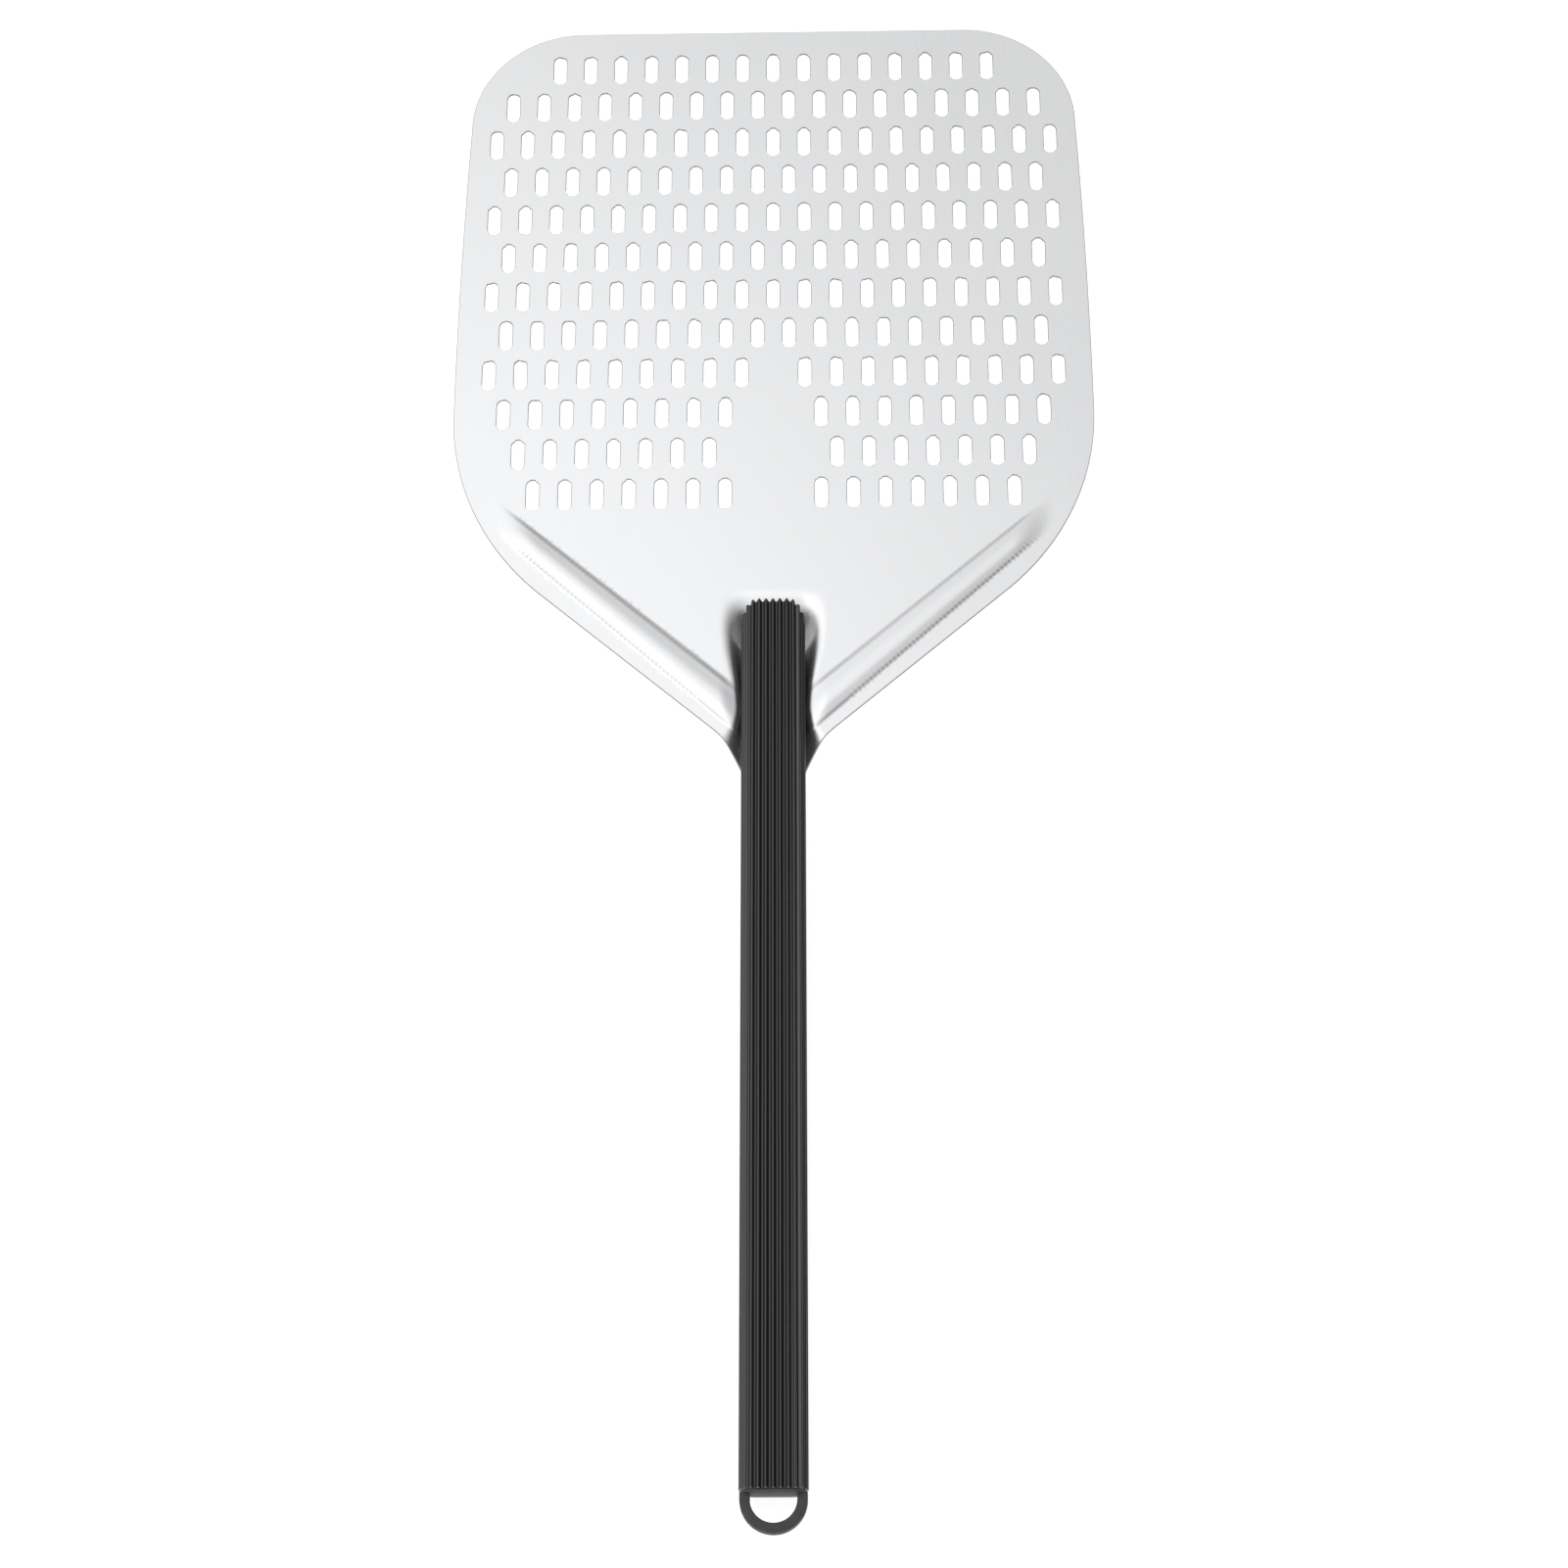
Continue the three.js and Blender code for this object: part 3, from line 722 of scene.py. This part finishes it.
def build_cap(materials):
    """The flange, plug and loop joined into one moulding."""
    piece = new_object("cap_moulding", *build_flange(), "cap_plastic", materials)
    smooth_by_angle(piece)
    loop = new_object("cap_loop_tool", *build_loop(), "cap_plastic", materials)
    smooth_by_angle(loop)
    join = piece.modifiers.new("join", "BOOLEAN")
    join.operation = "UNION"
    join.solver = "EXACT"
    join.object = loop
    bpy.context.view_layer.update()
    joined = piece.evaluated_get(bpy.context.evaluated_depsgraph_get())
    made = bpy.data.meshes.new_from_object(joined)
    piece.modifiers.clear()
    piece.data = made
    bpy.data.objects.remove(loop)
    smooth_by_angle(piece)
    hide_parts("end_cap")
    return piece


# ---------------------------------------------------------------- rivets

def turned(profile, at, count):
    """Vertices and faces of a closed (radius, height) profile turned about an upright axis."""
    vertices = []
    for radius, height in profile:
        for k in range(count):
            angle = 2 * math.pi * k / count
            x = radius * math.cos(angle)
            y = FRONT_Y - at + radius * math.sin(angle)
            vertices.append((x, y, height))
    return vertices, ring_faces(len(profile), count, closed=True)


def rivet_profile(low, high, head_top):
    """A set blind rivet: domed head below the sheet, shank, and a bulb inside the tube."""
    head_radius = (high.x - low.x) / 2
    head_height = head_top - low.z
    bulb_low = tube_low.z + RIB_DEPTH + TUBE_WALL + CONTACT_GAP
    bulb_height = high.z - bulb_low
    profile = []
    for turn in np.radians(np.linspace(0, 90, 12)):
        radius = MANDREL_HOLE_RADIUS + (head_radius - MANDREL_HOLE_RADIUS) * math.sin(turn)
        profile.append((radius, head_top - head_height * (0.25 + 0.75 * math.cos(turn))))
    profile += [(head_radius, head_top), (RIVET_SHANK_RADIUS, head_top)]
    for turn in np.radians(np.linspace(0, 180, 13)):
        radius = RIVET_SHANK_RADIUS + (RIVET_BULB_RADIUS - RIVET_SHANK_RADIUS) * math.sin(turn)
        profile.append((radius, bulb_low + bulb_height * (1 - math.cos(turn)) / 2))
    profile.append((MANDREL_HOLE_RADIUS, high.z))
    return profile


def pin_profile(low, high, shoulder):
    """What is left of the pulling pin: a snapped lower end and a head above the bulb."""
    radius = MANDREL_HOLE_RADIUS - CONTACT_GAP
    head_radius = (high.x - low.x) / 2
    head_height = high.z - shoulder
    return [
        (PIN_TIP_RADIUS, low.z + PIN_SNAP_HOLLOW),
        (0.6 * radius, low.z),
        (radius, low.z + PIN_SNAP_EDGE),
        (radius, shoulder),
        (0.9 * head_radius, shoulder),
        (head_radius, shoulder + 0.15 * head_height),
        (head_radius, shoulder + 0.5 * head_height),
        (0.6 * head_radius, high.z),
        (PIN_TIP_RADIUS, high.z),
    ]


def build_rivet(place, rivet_material, pin_material):
    low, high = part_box(f"rivet_{place}")
    pin_low, pin_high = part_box(f"rivet_pin_{place}")
    at = rivet_at(place)
    vertices, faces = turned(rivet_profile(low, high, pin_low.z), at, RIVET_SEGMENTS)
    rivet = new_object(f"rivet_body_{place}", vertices, faces, "rivet_metal", [rivet_material])
    smooth_by_angle(rivet, RIVET_HARD_EDGE_DEGREES)
    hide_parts(f"rivet_{place}")

    profile = pin_profile(pin_low, pin_high, high.z + CONTACT_GAP)
    vertices, faces = turned(profile, at, PIN_SEGMENTS)
    pin = new_object(f"pulling_pin_{place}", vertices, faces, "pin_steel", [pin_material])
    smooth_by_angle(pin, RIVET_HARD_EDGE_DEGREES)
    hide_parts(f"rivet_pin_{place}")


# ---------------------------------------------------------------- materials

def map_range(tree, value, low, high, from_low, from_high):
    node = tree.nodes.new("ShaderNodeMapRange")
    node.inputs["From Min"].default_value = from_low
    node.inputs["From Max"].default_value = from_high
    node.inputs["To Min"].default_value = low
    node.inputs["To Max"].default_value = high
    tree.links.new(value, node.inputs["Value"])
    return node.outputs["Result"]


def calculate(tree, operation, a, b):
    node = tree.nodes.new("ShaderNodeMath")
    node.operation = operation
    tree.links.new(a, node.inputs[0])
    if isinstance(b, float):
        node.inputs[1].default_value = b
    else:
        tree.links.new(b, node.inputs[1])
    return node.outputs[0]


class Finish:
    """A material with short ways to add noise and to lead it to the shader."""

    def __init__(self, name, metallic=0.0):
        self.material = bpy.data.materials.new(name)
        self.material.use_nodes = True
        self.tree = self.material.node_tree
        self.shader = self.tree.nodes["Principled BSDF"]
        self.shader.inputs["Metallic"].default_value = metallic
        self.coordinates = self.tree.nodes.new("ShaderNodeTexCoord").outputs["Object"]

    def noise(self, scale, detail, stretch=(1, 1, 1)):
        """Noise in object space; a stretch below 1 draws it out along that axis."""
        mapping = self.tree.nodes.new("ShaderNodeMapping")
        mapping.inputs["Scale"].default_value = stretch
        self.tree.links.new(self.coordinates, mapping.inputs["Vector"])
        node = self.tree.nodes.new("ShaderNodeTexNoise")
        node.inputs["Scale"].default_value = scale
        node.inputs["Detail"].default_value = detail
        self.tree.links.new(mapping.outputs["Vector"], node.inputs["Vector"])
        return node.outputs["Fac"]

    def spread(self, noise, low, high):
        """The noise's middle, where nearly all of it lies, mapped to a range."""
        return map_range(self.tree, noise, low, high, from_low=0.3, from_high=0.7)

    def add(self, a, b):
        return calculate(self.tree, "ADD", a, b)

    def share(self, value, factor):
        return calculate(self.tree, "MULTIPLY", value, factor)

    def colour(self, factor, dark, light):
        node = self.tree.nodes.new("ShaderNodeMix")
        node.data_type = "RGBA"
        self.tree.links.new(factor, node.inputs["Factor"])
        node.inputs["A"].default_value = (*dark, 1)
        node.inputs["B"].default_value = (*light, 1)
        self.tree.links.new(node.outputs["Result"], self.shader.inputs["Base Color"])

    def roughness(self, value):
        self.tree.links.new(value, self.shader.inputs["Roughness"])

    def bump(self, height, distance, strength):
        node = self.tree.nodes.new("ShaderNodeBump")
        node.inputs["Distance"].default_value = distance
        node.inputs["Strength"].default_value = strength
        self.tree.links.new(height, node.inputs["Height"])
        self.tree.links.new(node.outputs["Normal"], self.shader.inputs["Normal"])


def satin_aluminium():
    """Fine grain along the peel, faint clouds and a frosted surface."""
    finish = Finish("satin_aluminium", metallic=1.0)
    grain = finish.noise(scale=2600, detail=3, stretch=(1, 0.04, 1))
    cloud = finish.noise(scale=9, detail=3)
    frost = finish.noise(scale=5200, detail=2)
    tone = finish.add(finish.spread(grain, 0.0, 0.5), finish.spread(cloud, 0.0, 0.5))
    finish.colour(tone, dark=(0.80, 0.805, 0.815), light=(0.88, 0.885, 0.893))
    finish.roughness(finish.add(finish.spread(grain, 0.36, 0.42), finish.spread(cloud, -0.02, 0.03)))
    height = finish.add(finish.share(grain, 0.6), finish.share(frost, 0.4))
    finish.bump(height, distance=0.006 * MM, strength=0.5)
    return finish.material


def sheared_edge():
    """The punched edge of the sheet, with short tears through its thickness."""
    finish = Finish("sheared_edge", metallic=1.0)
    tears = finish.noise(scale=4200, detail=3, stretch=(1, 1, 0.1))
    finish.colour(finish.spread(tears, 0, 1), dark=(0.26, 0.262, 0.268), light=(0.46, 0.462, 0.47))
    finish.roughness(finish.spread(tears, 0.38, 0.55))
    finish.bump(tears, distance=0.02 * MM, strength=0.6)
    return finish.material


def black_anodised():
    """Nearly black, with fine drawing streaks along the tube."""
    finish = Finish("black_anodised")
    finish.shader.inputs["IOR"].default_value = 1.7
    streak = finish.noise(scale=1500, detail=3, stretch=(1, 0.02, 1))
    cloud = finish.noise(scale=30, detail=3)
    finish.colour(
        finish.spread(streak, 0, 1), dark=(0.001, 0.001, 0.0011), light=(0.0025, 0.0025, 0.0026))
    finish.roughness(finish.add(finish.spread(streak, 0.15, 0.23), finish.spread(cloud, -0.02, 0.02)))
    finish.bump(streak, distance=0.01 * MM, strength=0.5)
    return finish.material


def bare_cut():
    """The tube's ends, where the saw left bare aluminium."""
    finish = Finish("bare_cut_aluminium", metallic=1.0)
    marks = finish.noise(scale=900, detail=3, stretch=(1, 1, 14))
    finish.colour(finish.spread(marks, 0, 1), dark=(0.55, 0.555, 0.565), light=(0.75, 0.755, 0.765))
    finish.roughness(finish.spread(marks, 0.3, 0.5))
    finish.bump(marks, distance=0.03 * MM, strength=0.6)
    return finish.material


def grey_plastic():
    """Matte moulding with a fine stipple and faint flow marks."""
    finish = Finish("cap_plastic")
    finish.shader.inputs["IOR"].default_value = 1.25
    stipple = finish.noise(scale=3200, detail=2)
    flow = finish.noise(scale=160, detail=3, stretch=(1, 1, 0.3))
    finish.colour(finish.spread(flow, 0, 1), dark=(0.072, 0.072, 0.073), light=(0.088, 0.088, 0.089))
    finish.roughness(finish.spread(stipple, 0.5, 0.6))
    finish.bump(stipple, distance=0.02 * MM, strength=0.6)
    return finish.material


def rivet_aluminium():
    finish = Finish("rivet_aluminium", metallic=1.0)
    scuff = finish.noise(scale=1400, detail=4)
    finish.colour(finish.spread(scuff, 0, 1), dark=(0.66, 0.665, 0.675), light=(0.79, 0.795, 0.80))
    finish.roughness(finish.spread(scuff, 0.24, 0.38))
    finish.bump(scuff, distance=0.01 * MM, strength=0.6)
    return finish.material


def pin_steel():
    finish = Finish("pin_steel", metallic=1.0)
    scuff = finish.noise(scale=2200, detail=4)
    finish.colour(finish.spread(scuff, 0, 1), dark=(0.44, 0.445, 0.455), light=(0.58, 0.585, 0.60))
    finish.roughness(finish.spread(scuff, 0.3, 0.5))
    finish.bump(scuff, distance=0.02 * MM, strength=0.6)
    return finish.material


# ---------------------------------------------------------------- studio

CAMERA_PLACE = (0.0344, -0.6520, 1.4575)
CAMERA_AXIS = (-0.0188, 0.3922, -0.9197)
CAMERA_RIGHT = (0.9998, -0.0015, -0.0211)
CAMERA_NEAR = 0.05
CAMERA_FAR = 50
SENSOR = 36.0
LENS = 79.82
FLOOR_SIZE = 60.0
FLOOR_DROP = 0.2 * MM
FLOOR_DARK = (0.40, 0.40, 0.40)
FLOOR_LIGHT = (0.42, 0.42, 0.42)
FLOOR_GLOW = 0.85

# The sky's strength by the upward part of the direction, and how much it leans to the left
SKY_RISES_FROM = 0.15
SKY_HORIZON = 0.1
SKY_ZENITH = 1.03
SKY_LEFT_LEAN = 0.8
BACKDROP_TOP = 0.1
BACKDROP_FADE = 0.18
BACKDROP_GLOW = 0.8

LIGHT_PLACE = (-0.5, 0.6, 1.9)
LIGHT_TARGET = (0, 0.05, 0)
LIGHT_SIZE = (1.4, 1.2)
LIGHT_POWER = 2.4


def add_camera():
    camera = bpy.data.cameras.new("camera")
    camera.sensor_width = SENSOR
    camera.lens = LENS
    camera.clip_start = CAMERA_NEAR
    camera.clip_end = CAMERA_FAR
    back = -Vector(CAMERA_AXIS).normalized()
    up = back.cross(Vector(CAMERA_RIGHT)).normalized()
    right = up.cross(back).normalized()
    turn = Matrix((right, up, back)).transposed()
    stand = bpy.data.objects.new("camera", camera)
    stand.matrix_world = Matrix.Translation(CAMERA_PLACE) @ turn.to_4x4()
    bpy.context.scene.collection.objects.link(stand)
    bpy.context.scene.camera = stand


def add_floor():
    finish = Finish("pale_floor")
    finish.colour(finish.noise(scale=3, detail=2), FLOOR_DARK, FLOOR_LIGHT)
    finish.shader.inputs["Roughness"].default_value = 0.9
    finish.shader.inputs["Emission Color"].default_value = (1, 1, 1, 1)
    finish.shader.inputs["Emission Strength"].default_value = FLOOR_GLOW
    half = FLOOR_SIZE / 2
    mesh = bpy.data.meshes.new("floor")
    corners = [(-half, -half, 0), (half, -half, 0), (half, half, 0), (-half, half, 0)]
    mesh.from_pydata(corners, [], [(0, 1, 2, 3)])
    mesh.materials.append(finish.material)
    floor = bpy.data.objects.new("floor", mesh)
    floor.location.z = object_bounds()[0][2] - FLOOR_DROP
    bpy.context.scene.collection.objects.link(floor)


def add_overhead_light():
    light = bpy.data.lights.new("overhead", "AREA")
    light.shape = "RECTANGLE"
    light.size, light.size_y = LIGHT_SIZE
    light.energy = LIGHT_POWER
    stand = bpy.data.objects.new("overhead", light)
    stand.location = LIGHT_PLACE
    aim = Vector(LIGHT_TARGET) - Vector(LIGHT_PLACE)
    stand.rotation_euler = aim.to_track_quat("-Z", "Y").to_euler()
    bpy.context.scene.collection.objects.link(stand)


def add_world():
    """A white sky, brightest overhead and on the left, with a pale backdrop round the horizon."""
    world = bpy.data.worlds.new("studio")
    world.use_nodes = True
    tree = world.node_tree
    generated = tree.nodes.new("ShaderNodeTexCoord").outputs["Generated"]
    direction = tree.nodes.new("ShaderNodeSeparateXYZ")
    tree.links.new(generated, direction.inputs["Vector"])
    x = direction.outputs["X"]
    z = direction.outputs["Z"]
    rise = map_range(tree, z, SKY_HORIZON, SKY_ZENITH, from_low=SKY_RISES_FROM, from_high=1)
    lean = map_range(tree, x, 1 + SKY_LEFT_LEAN, 1 - SKY_LEFT_LEAN, from_low=-1, from_high=1)
    backdrop = map_range(tree, z, BACKDROP_GLOW, 0, from_low=BACKDROP_TOP, from_high=BACKDROP_FADE)
    sky = calculate(tree, "MULTIPLY", rise, lean)
    background = tree.nodes["Background"]
    background.inputs["Color"].default_value = (1, 1, 1, 1)
    tree.links.new(calculate(tree, "ADD", sky, backdrop), background.inputs["Strength"])
    bpy.context.scene.world = world


def add_studio():
    add_camera()
    add_floor()
    add_world()
    add_overhead_light()
    bpy.context.scene.view_settings.view_transform = "Standard"


# ---------------------------------------------------------------- the peel

add_studio()
build_blade([satin_aluminium(), sheared_edge()])
build_tube([black_anodised(), bare_cut()])
build_cap([grey_plastic()])
rivet_finish = rivet_aluminium()
pin_finish = pin_steel()
for place in RIVETS:
    build_rivet(place, rivet_finish, pin_finish)
